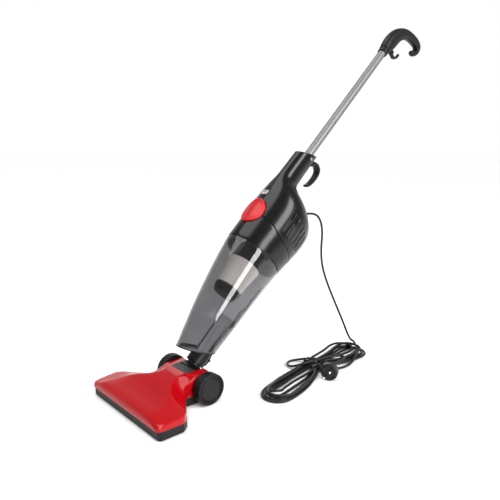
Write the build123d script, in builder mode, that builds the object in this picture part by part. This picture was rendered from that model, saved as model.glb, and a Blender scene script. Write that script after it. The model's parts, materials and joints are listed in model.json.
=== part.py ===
"""Corded upright stick vacuum cleaner, leaning back as it is pushed, with its cord laid on the floor."""
from build123d import *
import math
import os

# ---- driving dimensions, in millimetres ----------------------------------------------
# Frame: Z up, the floor at 0, X across, Y from the floor head towards the user.
LEAN = 46.6            # lean of the stick from upright, degrees
AXLE_Y = -322.1        # wheel axle, so that the origin lies under the middle of the whole
PIVOT_Y = 2.0          # tilt pivot, behind the wheel axle
PIVOT_Z = 46.5

WHEEL_R = 32.0
WHEEL_IN = 55.0        # inner and outer faces of the wheels
WHEEL_OUT = 75.0
HEAD_HALF = 124.5      # half the floor head's width
SPLIT_Z = 18.6         # height of the joint between the head's cover and base
BAY_HALF = 28.3        # half width of the bay between the flanks
COVER_WALL = 2.4

DRUM_R = 12.8
NECK_Y = -3.0          # swivel axis, measured across the stick from the pivot
SLEEVE_R = 20.5
SPIGOT_R = 15.5
FIT = 0.06             # radial running clearance

SEAM_Z = 275.0         # joint between the dust cup and the hand unit
CUP_WALL = 2.2
SHELL = 2.6
MOTOR_Y = -42.0
FILTER_Y = -46.0
POLE_Y = -81.7
POLE_R = 10.0
POLE_WALL = 1.0
BUTTON_Z = 346.0
GRIP_TOP_Z = 548.0
CORD_R = 2.75

# Stations of the body along the stick: height, half width, front and back.
CUP_STATIONS = (
    (12, 33, -59, 15),
    (34, 36.5, -65.5, 16.6),
    (109, 47, -85.5, 19.5),
    (199, 56, -104.7, 23.3),
    (275, 62.5, -116.5, 29.5),
    (300, 64.5, -117.3, 33.5),
)
UNIT_STATIONS = (
    (250, 60.5, -114, 27),
    (275, 62.5, -116.5, 29.5),
    (349, 66, -117.2, 43),
    (379, 66, -117.2, 45),
    (397, 64, -117.2, 42.5),
    (411, 60, -117.2, 34.5),
    (425, 53, -117, 20),
    (438, 43, -117, 0),
    (450, 30, -116.8, -28),
    (462, 21.5, -116.6, -54),
    (480, 19.5, -116.5, -60),
    (580, 18.5, -114.5, -61),
)
# Stations of the head's cover along Y: half width, side height, panel half width, panel height.
COVER_STATIONS = (
    (-155, 117, 22, 110, 24),
    (-151, 123, 28, 97, 33.5),
    (-125, 124.5, 32, 87, 37),
    (-100, 124.5, 34, 78, 41),
    (-88, 114, 35, 66, 45),
    (-72, 91, 36, 42, 50),
    (-56, 62, 40, 29, 54),
    (-46, 52, 47, 27, 56),
    (-27, 52, 55, 35, 58),
    (14, 52, 56, 44, 59),
)
BASE_OUTLINE = (
    (0, -152), (118, -152), (123.5, -146), (123.5, -100), (113, -86), (91, -71),
    (66, -56), (50, -48), (50, 12),
)
# The cord's lead on its way from the gland to the hank: X, Y from the axle, Z.
LEAD_ROUTE = (
    (0, 352, 347.5),
    (0, 378, 347.5),
    (1, 400, 329),
    (4, 405, 297),
    (8, 396, 257),
    (15, 394, 214),
    (27, 406, 165),
    (42, 423, 113),
    (55, 438, 68),
    (65, 452, 23.5),
)
# The hank in plan, X and Y from the axle: loose loops, tied bundle and one stray loop.
LOOSE_LOOPS = (
    (72, 283), (74, 240), (84, 178), (91, 141), (99, 108), (114, 91), (140, 88), (163, 98),
    (171, 122), (164, 165), (150, 212), (134, 240), (120, 262), (112, 283),
)
BUNDLE = (
    (62, 283), (57, 326), (50, 372), (42, 420), (46, 452), (66, 465), (92, 461), (116, 442),
    (132, 410), (139, 370), (137, 330), (128, 308), (112, 283),
)
STRAY_LOOP = ((70, 262), (55, 242), (35, 249), (25, 271), (33, 289), (58, 296), (75, 285))
HANK_TOP = 26.0
PLUG_X = 152.0
PLUG_Y = 268.0
PLUG_R = 19.5
PLUG_TURN = 25.0       # of the plug's axis from -Y towards +X

# ---- frames --------------------------------------------------------------------------
STICK = Plane(
    origin=(0, AXLE_Y + PIVOT_Y, PIVOT_Z),
    x_dir=(1, 0, 0),
    z_dir=(0, math.sin(math.radians(LEAN)), math.cos(math.radians(LEAN))),
)


def across(y, z, turn=0.0):
    """Plane across the stick at y, z of the stick's frame, its normal turned back by some degrees."""
    angle = math.radians(LEAN + turn)
    return Plane(
        origin=STICK.from_local_coords((0, y, z)),
        x_dir=(1, 0, 0),
        z_dir=(0, math.sin(angle), math.cos(angle)),
    )


def sideways(y, z, x=0.0):
    """Plane facing +X: its sketches run to the stick's back, then up the stick."""
    return Plane(origin=STICK.from_local_coords((x, y, z)), x_dir=STICK.y_dir, z_dir=(1, 0, 0))


def frontal(y, z):
    """Plane facing the stick's front: its sketches run along X, then up the stick."""
    return Plane(origin=STICK.from_local_coords((0, y, z)), x_dir=(1, 0, 0), z_dir=-STICK.y_dir)


def head_top(z):
    """Level plane at height z, with its origin over the wheel axle."""
    return Plane(origin=(0, AXLE_Y, z))


def head_side(x):
    """Plane facing +X at x: its sketches run along Y from the axle, then up from the floor."""
    return Plane(origin=(x, AXLE_Y, 0), x_dir=(0, 1, 0), z_dir=(1, 0, 0))


def head_across(y):
    """Plane across the head at y from the axle: its sketches run along X, then up."""
    return Plane(origin=(0, AXLE_Y + y, 0), x_dir=(1, 0, 0), z_dir=(0, -1, 0))


SEAM = across(-45, SEAM_Z)
RIM_TURN = -math.degrees(math.atan2(41, 80))
RIM = across(-64, 19, RIM_TURN)                 # slanted mouth end of the dust cup
UPPER_SEAM = across(-37, 322, math.degrees(math.atan(0.24)))


# ---- helpers that work inside the builder block that calls them -----------------------
def block(x, y, z, mode=Mode.ADD):
    """Box in the head's own frame: each of x, y and z is a (low, high) pair."""
    with BuildSketch(head_top(z[0])) as plan:
        with Locations(((x[0] + x[1]) / 2, (y[0] + y[1]) / 2)):
            Rectangle(x[1] - x[0], y[1] - y[0])
    extrude(plan.sketch, amount=z[1] - z[0], mode=mode)


def stick_block(x, y, z, mode=Mode.ADD):
    """Box in the stick's frame: each of x, y and z is a (low, high) pair."""
    with BuildSketch(STICK.offset(z[0])) as plan:
        with Locations(((x[0] + x[1]) / 2, (y[0] + y[1]) / 2)):
            Rectangle(x[1] - x[0], y[1] - y[0])
    extrude(plan.sketch, amount=z[1] - z[0], mode=mode)


def stick_rod(y, low, high, radius, mode=Mode.ADD):
    """Cylinder along the stick at y, from height low to high."""
    with BuildSketch(across(y, low)) as disc:
        Circle(radius)
    extrude(disc.sketch, amount=high - low, mode=mode)


def cross_rod(plane, x_low, x_high, radius, mode=Mode.ADD):
    """Cylinder along X about the origin of a sideways plane."""
    with BuildSketch(plane.offset(x_low)) as disc:
        Circle(radius)
    extrude(disc.sketch, amount=x_high - x_low, mode=mode)


def body_loft(stations, inset, mode=Mode.ADD):
    """The body's outer shape, drawn in by an inset at every station."""
    sections = []
    for z, half, front, back in stations:
        with BuildSketch(across((front + back) / 2, z)) as section:
            Ellipse(half - inset, (back - front) / 2 - inset)
        sections.append(section.sketch)
    loft(sections, ruled=True, mode=mode)


def cover_loft(inset, bottom, mode=Mode.ADD):
    """The head cover's outer shape, drawn in by an inset."""
    last = len(COVER_STATIONS) - 1
    sections = []
    for index, (y, half, side, panel, top) in enumerate(COVER_STATIONS):
        if index == 0:
            y = y + inset
        if index == last:
            y = y - inset
        w, h, p, t = half - inset, side - inset, panel - inset / 2, top - inset
        with BuildSketch(head_across(y)) as section:
            Polygon((-w, bottom), (w, bottom), (w, h), (p, t), (-p, t), (-w, h), align=None)
        sections.append(section.sketch)
    loft(sections, ruled=True, mode=mode)


def base_slab(inset, low, high, mode=Mode.ADD):
    """The head's base in plan, drawn in by an inset, from height low to high."""
    right = [(-x, y) for x, y in reversed(BASE_OUTLINE)]
    with BuildSketch(head_top(low)) as plan:
        Polygon(*BASE_OUTLINE, *right[:-1], align=None)
        if inset:
            offset(amount=-inset, kind=Kind.INTERSECTION, mode=Mode.REPLACE)
    extrude(plan.sketch, amount=high - low, mode=mode)


def finish(part, name):
    """Labels a finished piece and writes it as a STEP file."""
    part.label = name
    export_step(part, f"parts/{name}.step")


os.makedirs("parts", exist_ok=True)
PIVOT_SIDE = sideways(0, 0)
ROLLER_AXIS = Plane(origin=(0, AXLE_Y - 100, 6), x_dir=(0, 1, 0), z_dir=(1, 0, 0))
SCREW_SPOTS = ((-84, -76), (84, -76), (-40, -36), (40, -36))

# ---- floor head: cover, base, sole ---------------------------------------------------
with BuildPart() as bay_walls:
    cover_loft(0, SPLIT_Z)
    wall_out = BAY_HALF + COVER_WALL
    with BuildSketch(head_top(0)):
        Rectangle(2 * wall_out, 29.4, align=(Align.CENTER, Align.MIN))
        with Locations((0, -29.4)):
            Rectangle(2 * wall_out, 29.4, align=(Align.CENTER, Align.MIN))
        Rectangle(2 * BAY_HALF, 54, align=(Align.CENTER, Align.CENTER), mode=Mode.SUBTRACT)
    extrude(amount=90, mode=Mode.INTERSECT)

with BuildPart() as head_cover:
    cover_loft(0, SPLIT_Z)
    cover_loft(COVER_WALL, SPLIT_Z - 5, mode=Mode.SUBTRACT)
    add(bay_walls.part)
    block((-BAY_HALF, BAY_HALF), (-27, 30), (0, 90), mode=Mode.SUBTRACT)
    # Room for the air duct in the bay's front wall.
    block((-27, 27), (-40, -20), (10, 42.5), mode=Mode.SUBTRACT)
    # The cover drops over the trunnions and over the axle pins.
    cross_rod(PIVOT_SIDE, -33, 33, 6.2, mode=Mode.SUBTRACT)
    block((-33, 33), (PIVOT_Y - 6.2, PIVOT_Y + 6.2), (10, PIVOT_Z), mode=Mode.SUBTRACT)
    with BuildSketch(head_side(-60)):
        with Locations((0, WHEEL_R)):
            Circle(4.6)
        with Locations((0, WHEEL_R / 2)):
            Rectangle(9.2, WHEEL_R)
    extrude(amount=120, mode=Mode.SUBTRACT)
finish(head_cover.part, "head_cover")

with BuildPart() as head_base:
    base_slab(0, 2.4, SPLIT_Z - 0.2)
    base_slab(2.6, 4.8, 35, mode=Mode.SUBTRACT)
    # Suction chamber, air duct and the cradle under the drum.
    block((-110.4, 110.4), (-145.4, -110.6), (4, 17.4))
    block((-26.4, 26.4), (-112, -14.5), (4, 30))
    block((-26.4, 26.4), (-42, -14.5), (4, 42))
    block((-26.4, 26.4), (-14.5, 12), (4, 32))
    block((-108, 108), (-143, -113), (2, 15), mode=Mode.SUBTRACT)
    block((-24, 24), (-114, -14), (4.8, 27.6), mode=Mode.SUBTRACT)
    block((-24, 24), (-39.6, -14), (4.8, 39.6), mode=Mode.SUBTRACT)
    for side in (-1, 1):
        # Cheeks that carry the trunnions, and bosses that hold the axle pins.
        low, high = sorted((side * 31.2, side * 36.4))
        block((low, high), (PIVOT_Y - 9, PIVOT_Y + 9), (4, PIVOT_Z))
        cross_rod(PIVOT_SIDE, low, high, 9)
        low, high = sorted((side * 36.2, side * 47.5))
        block((low, high), (-8, 8), (4, 41))
        # Roller pockets.
        block((side * 100 - 9, side * 100 + 9), (-110, -90), (2.4, 15))
        block((side * 100 - 5.5, side * 100 + 5.5), (-107.5, -92.5), (0, 13.4), mode=Mode.SUBTRACT)
        cross_rod(
            ROLLER_AXIS,
            side * 100 - 8.6, side * 100 + 8.6, 2.0 + FIT, mode=Mode.SUBTRACT,
        )
    cross_rod(PIVOT_SIDE, -27, 27, DRUM_R + 0.5, mode=Mode.SUBTRACT)
    cross_rod(PIVOT_SIDE, -37, 37, 6.5, mode=Mode.SUBTRACT)
    with BuildSketch(head_side(-50)):
        with Locations((0, WHEEL_R)):
            Circle(4)
    extrude(amount=100, mode=Mode.SUBTRACT)
    with BuildSketch(head_top(0)):
        with Locations(SCREW_SPOTS):
            Circle(1.5)
    extrude(amount=11.2, mode=Mode.SUBTRACT)
finish(head_base.part, "head_base")

with BuildPart() as sole_plate:
    base_slab(1.2, 0.8, 2.2)
    block((-60, 60), (-98, -70), (0, 1))
    for side in (-1, 1):
        block((side * 116 - 2.5, side * 116 + 2.5), (-140, -112), (0, 1))
    block((-106, 106), (-143.2, -112.8), (-1, 3), mode=Mode.SUBTRACT)
    for side in (-1, 1):
        block((side * 100 - 5.5, side * 100 + 5.5), (-107.5, -92.5), (-1, 3), mode=Mode.SUBTRACT)
    with BuildSketch(head_top(0)):
        with Locations(SCREW_SPOTS):
            Circle(3.1)
    extrude(amount=3, mode=Mode.SUBTRACT)
finish(sole_plate.part, "sole_plate")

with BuildPart() as head_screws:
    with BuildSketch(head_top(0.9)):
        with Locations(SCREW_SPOTS):
            Circle(3)
    extrude(amount=1.5)
    with BuildSketch(head_top(2)):
        with Locations(SCREW_SPOTS):
            Circle(1.6)
    extrude(amount=9)
finish(head_screws.part, "head_screws")

with BuildPart() as front_brush:
    block((-104, 104), (-142.9, -140), (0.3, 9))
finish(front_brush.part, "front_brush")

with BuildPart() as rear_brush:
    block((-104, 104), (-116, -113.1), (0.3, 9))
finish(rear_brush.part, "rear_brush")

with BuildPart() as drum_guard:
    block((-28.2, 28.2), (-26.9, -6), (55.6, 58.2))
    cross_rod(PIVOT_SIDE, -30, 30, DRUM_R + 0.4, mode=Mode.SUBTRACT)
finish(drum_guard.part, "drum_guard")

with BuildPart() as axle_pins:
    with BuildSketch(head_side(37)):
        with Locations((0, WHEEL_R)):
            Circle(4)
    extrude(amount=35.4)
    mirror(about=Plane.YZ)
finish(axle_pins.part, "axle_pins")

with BuildPart() as pivot_bushes:
    cross_rod(PIVOT_SIDE, 31.2, 36.2, 6.5)
    cross_rod(PIVOT_SIDE, 31, 37, 5 + FIT, mode=Mode.SUBTRACT)
    mirror(about=Plane.YZ)
finish(pivot_bushes.part, "pivot_bushes")

# ---- wheels and rollers --------------------------------------------------------------
WHEEL_AXIS = Plane(origin=(0, AXLE_Y, WHEEL_R), x_dir=(0, 1, 0), z_dir=(1, 0, 0))
for name, side in (("left", 1), ("right", -1)):
    with BuildPart() as wheel:
        cross_rod(WHEEL_AXIS, WHEEL_IN, WHEEL_OUT, 27)
        cross_rod(WHEEL_AXIS, WHEEL_OUT - 2, WHEEL_OUT + 1, 24, mode=Mode.SUBTRACT)
        cross_rod(WHEEL_AXIS, WHEEL_IN - 1, WHEEL_OUT + 1, 4 + FIT, mode=Mode.SUBTRACT)
        if side < 0:
            mirror(about=Plane.YZ, mode=Mode.REPLACE)
    finish(wheel.part, f"{name}_wheel")

    with BuildPart() as tyre:
        cross_rod(WHEEL_AXIS, WHEEL_IN, WHEEL_OUT, WHEEL_R)
        fillet(tyre.edges().filter_by(GeomType.CIRCLE), 3.5)
        cross_rod(WHEEL_AXIS, WHEEL_IN - 1, WHEEL_OUT + 1, 27, mode=Mode.SUBTRACT)
        if side < 0:
            mirror(about=Plane.YZ, mode=Mode.REPLACE)
    finish(tyre.part, f"{name}_tyre")

    with BuildPart() as hub_cap:
        cross_rod(WHEEL_AXIS, WHEEL_OUT - 2, WHEEL_OUT - 0.4, 23.9)
        if side < 0:
            mirror(about=Plane.YZ, mode=Mode.REPLACE)
    finish(hub_cap.part, f"{name}_hub_cap")

    with BuildPart() as roller:
        cross_rod(ROLLER_AXIS, side * 100 - 5, side * 100 + 5, 6)
        cross_rod(ROLLER_AXIS, side * 100 - 8.4, side * 100 + 8.4, 2)
    finish(roller.part, f"{name}_roller")

# ---- neck: tilting yoke and swivelling tube ------------------------------------------
with BuildPart() as neck_yoke:
    cross_rod(PIVOT_SIDE, -27.6, 27.6, DRUM_R)
    cross_rod(PIVOT_SIDE, -36.2, 36.2, 5)
    stick_block((-22, 22), (-7.5, 12), (0, 14))
    stick_rod(NECK_Y, 13, 36, SPIGOT_R)
    cross_rod(PIVOT_SIDE, -25.2, 25.2, DRUM_R - 2.4, mode=Mode.SUBTRACT)
    stick_block((-18, 18), (-5, 9.5), (0, 14), mode=Mode.SUBTRACT)
    stick_rod(NECK_Y, 13.5, 40, SPIGOT_R - 2.2, mode=Mode.SUBTRACT)
    stick_block((-22, 22), (-14, -2), (-14, 2), mode=Mode.SUBTRACT)
finish(neck_yoke.part, "neck_yoke")

LATCH_Y = NECK_Y + SLEEVE_R
with BuildPart() as neck_tube:
    stick_rod(NECK_Y, 18.5, 75, SLEEVE_R)
    split(bisect_by=RIM.offset(-0.4), keep=Keep.BOTTOM)
    stick_rod(NECK_Y, 30, 84, 13.9)
    for side in (-1, 1):
        stick_block((side * 8 - 1.5, side * 8 + 1.5), (LATCH_Y - 4, LATCH_Y + 5), (37, 43))
    cross_rod(sideways(LATCH_Y + 3, 40), -12, 12, 1.5 + FIT, mode=Mode.SUBTRACT)
    stick_rod(NECK_Y, 18, 37, SPIGOT_R + FIT, mode=Mode.SUBTRACT)
    stick_rod(NECK_Y, 18, 90, 12.2, mode=Mode.SUBTRACT)
finish(neck_tube.part, "neck_tube")

with BuildPart() as neck_latch:
    with BuildSketch(sideways(0, 0, -6)):
        Polygon(
            (LATCH_Y + 0.4, 38), (LATCH_Y + 1.6, 26), (LATCH_Y + 4, 26), (LATCH_Y + 6.2, 34), (LATCH_Y + 4.6, 38),
            (LATCH_Y + 6.2, 42), (LATCH_Y + 4.6, 46), (LATCH_Y + 3.4, 57), (LATCH_Y + 0.4, 57),
            align=None,
        )
    extrude(amount=12)
    cross_rod(sideways(LATCH_Y + 3, 40), -9, 9, 1.5)
finish(neck_latch.part, "neck_latch")

# ---- dust cup ------------------------------------------------------------------------
with BuildPart() as cup_cavity:
    body_loft(CUP_STATIONS, CUP_WALL)
    split(bisect_by=RIM.offset(CUP_WALL), keep=Keep.TOP)

with BuildPart() as dust_cup:
    body_loft(CUP_STATIONS, 0)
    split(bisect_by=RIM, keep=Keep.TOP)
    split(bisect_by=SEAM.offset(-0.15), keep=Keep.BOTTOM)
    add(cup_cavity.part, mode=Mode.SUBTRACT)
    stick_rod(NECK_Y, 10, 70, 16.05, mode=Mode.SUBTRACT)
finish(dust_cup.part, "dust_cup")

DUCT_TOP = 133.0
with BuildPart() as inlet_duct:
    stick_rod(NECK_Y, 10, DUCT_TOP, 16)
    split(bisect_by=RIM, keep=Keep.TOP)
    for side in (-1, 1):
        stick_block((side * 11.6 - 1.4, side * 11.6 + 1.4), (10, 16.5), (122, 138))
    stick_rod(NECK_Y, 5, 140, 14, mode=Mode.SUBTRACT)
    cross_rod(sideways(14.2, 135.3), -14, 14, 1.5 + FIT, mode=Mode.SUBTRACT)
finish(inlet_duct.part, "inlet_duct")

with BuildPart() as inlet_flap:
    stick_rod(NECK_Y, DUCT_TOP + 0.3, DUCT_TOP + 1.9, 15.6)
    stick_block((-16, 16), (14.6, 17), (DUCT_TOP, DUCT_TOP + 2.2), mode=Mode.SUBTRACT)
    stick_block((-9, 9), (6, 14.2), (DUCT_TOP + 0.3, DUCT_TOP + 1.9))
    cross_rod(sideways(14.2, 135.3), -12.8, 12.8, 1.5)
finish(inlet_flap.part, "inlet_flap")

# ---- filter --------------------------------------------------------------------------
PLEATS = 36
with BuildPart() as filter_frame:
    with BuildSketch(sideways(FILTER_Y, 0)) as rim_profile:
        Polygon(
            (25, 250), (36, 250), (51, 268), (51, 274.2), (47, 274.2), (47, 270), (34, 254),
            (25, 254), align=None,
        )
    revolve(axis=Axis(STICK.from_local_coords((0, FILTER_Y, 0)), STICK.z_dir))
finish(filter_frame.part, "filter_frame")

with BuildPart() as filter_pleats:
    points = []
    for step in range(2 * PLEATS):
        angle = math.pi * step / PLEATS
        radius = 30 if step % 2 else 26
        points.append((radius * math.cos(angle), radius * math.sin(angle)))
    with BuildSketch(across(FILTER_Y, 184)):
        Polygon(*points, align=None)
        Circle(22, mode=Mode.SUBTRACT)
    extrude(amount=66)
finish(filter_pleats.part, "filter_pleats")

with BuildPart() as filter_cap:
    with BuildSketch(sideways(FILTER_Y, 0)):
        Polygon((0, 184), (30.5, 184), (30.5, 178), (25, 166), (0, 166), align=None)
    revolve(axis=Axis(STICK.from_local_coords((0, FILTER_Y, 0)), STICK.z_dir))
finish(filter_cap.part, "filter_cap")

# ---- hand unit: lower housing and the two halves with the grip -----------------------
def button_prism(grow, depth, mode):
    """Oval of the release button, grown all round, through the front of the body."""
    with BuildSketch(frontal(-86, BUTTON_Z)) as oval:
        Ellipse(28 + grow, 32 + grow)
    extrude(oval.sketch, amount=depth, mode=mode)


with BuildPart() as lower_core:
    body_loft(UNIT_STATIONS[:3], SHELL)
    split(bisect_by=SEAM.offset(SHELL), keep=Keep.TOP)

with BuildPart() as motor_base:
    body_loft(UNIT_STATIONS[:3], 0)
    split(bisect_by=SEAM, keep=Keep.TOP)
    split(bisect_by=UPPER_SEAM, keep=Keep.BOTTOM)
    add(lower_core.part, mode=Mode.SUBTRACT)
    stick_rod(FILTER_Y, 260, 285, 24, mode=Mode.SUBTRACT)
    stick_block((-8.5, 8.5), (-112, -99.5), (260, 285), mode=Mode.SUBTRACT)
    button_prism(0.5, 60, Mode.SUBTRACT)
finish(motor_base.part, "motor_base")

with BuildPart() as cup_seal:
    body_loft(UNIT_STATIONS[:2], CUP_WALL + 0.35)
    split(bisect_by=SEAM, keep=Keep.BOTTOM)
    split(bisect_by=SEAM.offset(-5), keep=Keep.TOP)
    body_loft(UNIT_STATIONS[:2], CUP_WALL + 3.4, mode=Mode.SUBTRACT)
finish(cup_seal.part, "cup_seal")

BOSS_SPOTS = ((-97, 433), (-88, 492), (16, 402))
GRIP_TOP = across(-90, GRIP_TOP_Z, -33)
with BuildPart() as unit_core:
    body_loft(UNIT_STATIONS, SHELL)
    split(bisect_by=STICK.offset(506), keep=Keep.BOTTOM)

with BuildPart() as unit_bosses:
    body_loft(UNIT_STATIONS, 0.5)
    with BuildSketch(sideways(0, 0, -80)):
        with Locations(BOSS_SPOTS):
            Circle(4.5)
    extrude(amount=160, mode=Mode.INTERSECT)

with BuildPart() as motor_rib:
    body_loft(UNIT_STATIONS, 0.5)
    split(bisect_by=STICK.offset(380), keep=Keep.BOTTOM)
    split(bisect_by=STICK.offset(377.4), keep=Keep.TOP)
    stick_rod(MOTOR_Y, 370, 390, 12, mode=Mode.SUBTRACT)

GLAND_Z = 347.5
VENT_COUNT = 6
with BuildPart() as unit_body:
    body_loft(UNIT_STATIONS, 0)
    split(bisect_by=UPPER_SEAM.offset(0.1), keep=Keep.TOP)
    split(bisect_by=GRIP_TOP, keep=Keep.BOTTOM)
    add(unit_core.part, mode=Mode.SUBTRACT)
    add(unit_bosses.part)
    add(motor_rib.part)
    button_prism(0.5, 60, Mode.SUBTRACT)
    for vent in range(VENT_COUNT):
        y = -63 + 13 * vent
        top = 394 - 1.2 * vent * vent / 2
        for side in (-1, 1):
            low, high = sorted((side * 42, side * 80))
            stick_block((low, high), (y - 2.2, y + 2.2), (338, top), mode=Mode.SUBTRACT)
    stick_block((-3.4, 3.4), (-125, -108), (393, 411), mode=Mode.SUBTRACT)
    with BuildSketch(Plane(origin=(0, AXLE_Y + 296, GLAND_Z), x_dir=(1, 0, 0), z_dir=(0, 1, 0))):
        Circle(6.3)
    extrude(amount=60, mode=Mode.SUBTRACT)
    stick_rod(POLE_Y, 512, 600, POLE_R + 0.03, mode=Mode.SUBTRACT)
    # Screw holes: three from the right side, one from the left into the pole.
    with BuildSketch(sideways(0, 0, -80)):
        with Locations(BOSS_SPOTS):
            Circle(3.1)
    extrude(amount=71, mode=Mode.SUBTRACT)
    with BuildSketch(sideways(0, 0, -12)):
        with Locations(BOSS_SPOTS):
            Circle(1.5)
    extrude(amount=20, mode=Mode.SUBTRACT)
    cross_rod(sideways(POLE_Y, 541), 5, 30, 1.8, mode=Mode.SUBTRACT)
    cross_rod(sideways(POLE_Y, 541), 16.5, 30, 3.5, mode=Mode.SUBTRACT)

for name, keep in (("left", Keep.TOP), ("right", Keep.BOTTOM)):
    with BuildPart() as half:
        add(unit_body.part)
        split(bisect_by=Plane.YZ, keep=keep)
    finish(half.part, f"housing_{name}")

with BuildPart() as housing_screws:
    with BuildSketch(sideways(0, 0, -12)):
        with Locations(BOSS_SPOTS):
            Circle(3)
    extrude(amount=3)
    with BuildSketch(sideways(0, 0, -10)):
        with Locations(BOSS_SPOTS):
            Circle(1.5)
    extrude(amount=17)
    cross_rod(sideways(POLE_Y, 541), 8.6, 17, 1.8)
    cross_rod(sideways(POLE_Y, 541), 16.5, 18.7, 3.4)
finish(housing_screws.part, "housing_screws")

with BuildPart() as release_button:
    body_loft(UNIT_STATIONS, -5)
    button_prism(0, 60, Mode.INTERSECT)
    body_loft(UNIT_STATIONS, 4.5, mode=Mode.SUBTRACT)
finish(release_button.part, "release_button")

with BuildPart() as cup_latch:
    stick_block((-7, 7), (-113, -104.5), (322, 331))
    stick_block((-7, 7), (-107.2, -104.5), (262, 326))
    stick_block((-7, 7), (-110, -104.5), (262, 266))
finish(cup_latch.part, "cup_latch")

with BuildPart() as release_spring:
    with BuildSketch(frontal(-101.5, 356)):
        Circle(5.5)
        Circle(4.2, mode=Mode.SUBTRACT)
    extrude(amount=11)
finish(release_spring.part, "release_spring")

with BuildPart() as switch_body:
    stick_block((-9, 9), (-110, -92), (384, 414))
    stick_block((-3.6, 3.6), (-112, -104), (392, 412), mode=Mode.SUBTRACT)
finish(switch_body.part, "switch_body")

with BuildPart() as switch_slider:
    stick_block((-7.5, 7.5), (-121, -117.8), (392, 405))
    stick_block((-3, 3), (-118, -105), (394, 402))
finish(switch_slider.part, "switch_slider")

with BuildPart() as lower_hook:
    with BuildSketch(sideways(0, 0, -10)):
        Polygon(
            (-80, 560), (-42, 563), (-31, 557), (-25, 545), (-24.5, 512), (-28, 500),
            (-34, 496), (-37, 499), (-31, 514), (-31, 542), (-36, 549), (-50, 546),
            (-58, 532), (-80, 520), align=None,
        )
    extrude(amount=20)
    body_loft(UNIT_STATIONS, 0, mode=Mode.SUBTRACT)
finish(lower_hook.part, "lower_hook")

with BuildPart() as cord_gland:
    with BuildSketch(Plane(origin=(0, AXLE_Y + 312, GLAND_Z), x_dir=(1, 0, 0), z_dir=(0, 1, 0))):
        Circle(6)
    extrude(amount=14)
    gland_sections = []
    for y, radius in ((326, 6), (352, 3.7)):
        with BuildSketch(Plane(origin=(0, AXLE_Y + y, GLAND_Z), x_dir=(1, 0, 0), z_dir=(0, 1, 0))):
            Circle(radius)
    loft()
finish(cord_gland.part, "cord_gland")

# ---- motor and fan -------------------------------------------------------------------
with BuildPart() as fan_shroud:
    stick_rod(MOTOR_Y, 284, 300, 48)
    stick_rod(MOTOR_Y, 285.6, 301, 46.4, mode=Mode.SUBTRACT)
    stick_rod(MOTOR_Y, 280, 290, 16, mode=Mode.SUBTRACT)
finish(fan_shroud.part, "fan_shroud")

with BuildPart() as front_mount:
    stick_rod(MOTOR_Y, 282, 287, 51)
    stick_rod(MOTOR_Y, 284, 288, 48, mode=Mode.SUBTRACT)
    stick_rod(MOTOR_Y, 280, 288, 44, mode=Mode.SUBTRACT)
finish(front_mount.part, "front_mount")

FAN_BLADES = 9
with BuildPart() as fan:
    stick_rod(MOTOR_Y, 295, 296.4, 44)
    with BuildSketch(across(MOTOR_Y, 288)):
        Circle(7)
        with PolarLocations(24, FAN_BLADES):
            Rectangle(38, 1.4)
        Circle(4, mode=Mode.SUBTRACT)
    extrude(amount=7)
    stick_rod(MOTOR_Y, 280, 300, 4, mode=Mode.SUBTRACT)
finish(fan.part, "fan")

with BuildPart() as motor_can:
    stick_rod(MOTOR_Y, 301, 364, 36)
    stick_rod(MOTOR_Y, 364, 371, 15)
    stick_rod(MOTOR_Y, 309, 362, 34.4, mode=Mode.SUBTRACT)
    stick_rod(MOTOR_Y, 300, 307.5, 9, mode=Mode.SUBTRACT)
    stick_rod(MOTOR_Y, 365, 372, 9, mode=Mode.SUBTRACT)
    stick_rod(MOTOR_Y, 300, 372, 6, mode=Mode.SUBTRACT)
    with BuildSketch(across(MOTOR_Y, 348)):
        with PolarLocations(35, 6):
            Rectangle(8, 14)
    extrude(amount=10, mode=Mode.SUBTRACT)
finish(motor_can.part, "motor_can")

with BuildPart() as motor_bearings:
    for low in (301.5, 365):
        stick_rod(MOTOR_Y, low, low + 6, 9)
    stick_rod(MOTOR_Y, 300, 372, 4 + FIT, mode=Mode.SUBTRACT)
finish(motor_bearings.part, "motor_bearings")

with BuildPart() as motor_field:
    stick_rod(MOTOR_Y, 312, 344, 34.3)
    stick_rod(MOTOR_Y, 311, 345, 21.6, mode=Mode.SUBTRACT)
    with BuildSketch(across(MOTOR_Y, 311)):
        with Locations((29, 0), (-29, 0)):
            Rectangle(6, 18)
    extrude(amount=34, mode=Mode.SUBTRACT)
finish(motor_field.part, "motor_field")

ARMATURE_SLOTS = 12
with BuildPart() as armature:
    stick_rod(MOTOR_Y, 314, 342, 21)
    with BuildSketch(across(MOTOR_Y, 313)):
        with PolarLocations(18, ARMATURE_SLOTS):
            Rectangle(8, 2.6)
    extrude(amount=30, mode=Mode.SUBTRACT)
    stick_rod(MOTOR_Y, 313, 343, 4, mode=Mode.SUBTRACT)
finish(armature.part, "armature")

with BuildPart() as commutator:
    stick_rod(MOTOR_Y, 347, 357, 10)
    stick_rod(MOTOR_Y, 346, 358, 4, mode=Mode.SUBTRACT)
finish(commutator.part, "commutator")

with BuildPart() as motor_shaft:
    stick_rod(MOTOR_Y, 286, 372, 4)
finish(motor_shaft.part, "motor_shaft")

with BuildPart() as carbon_brushes:
    for side in (-1, 1):
        low, high = sorted((side * 10.2, side * 28))
        stick_block((low, high), (MOTOR_Y - 3, MOTOR_Y + 3), (349, 355))
finish(carbon_brushes.part, "carbon_brushes")

with BuildPart() as rear_mount:
    stick_rod(MOTOR_Y, 371.2, 377.2, 18)
    stick_rod(MOTOR_Y, 371, 378, 12, mode=Mode.SUBTRACT)
finish(rear_mount.part, "rear_mount")

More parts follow.
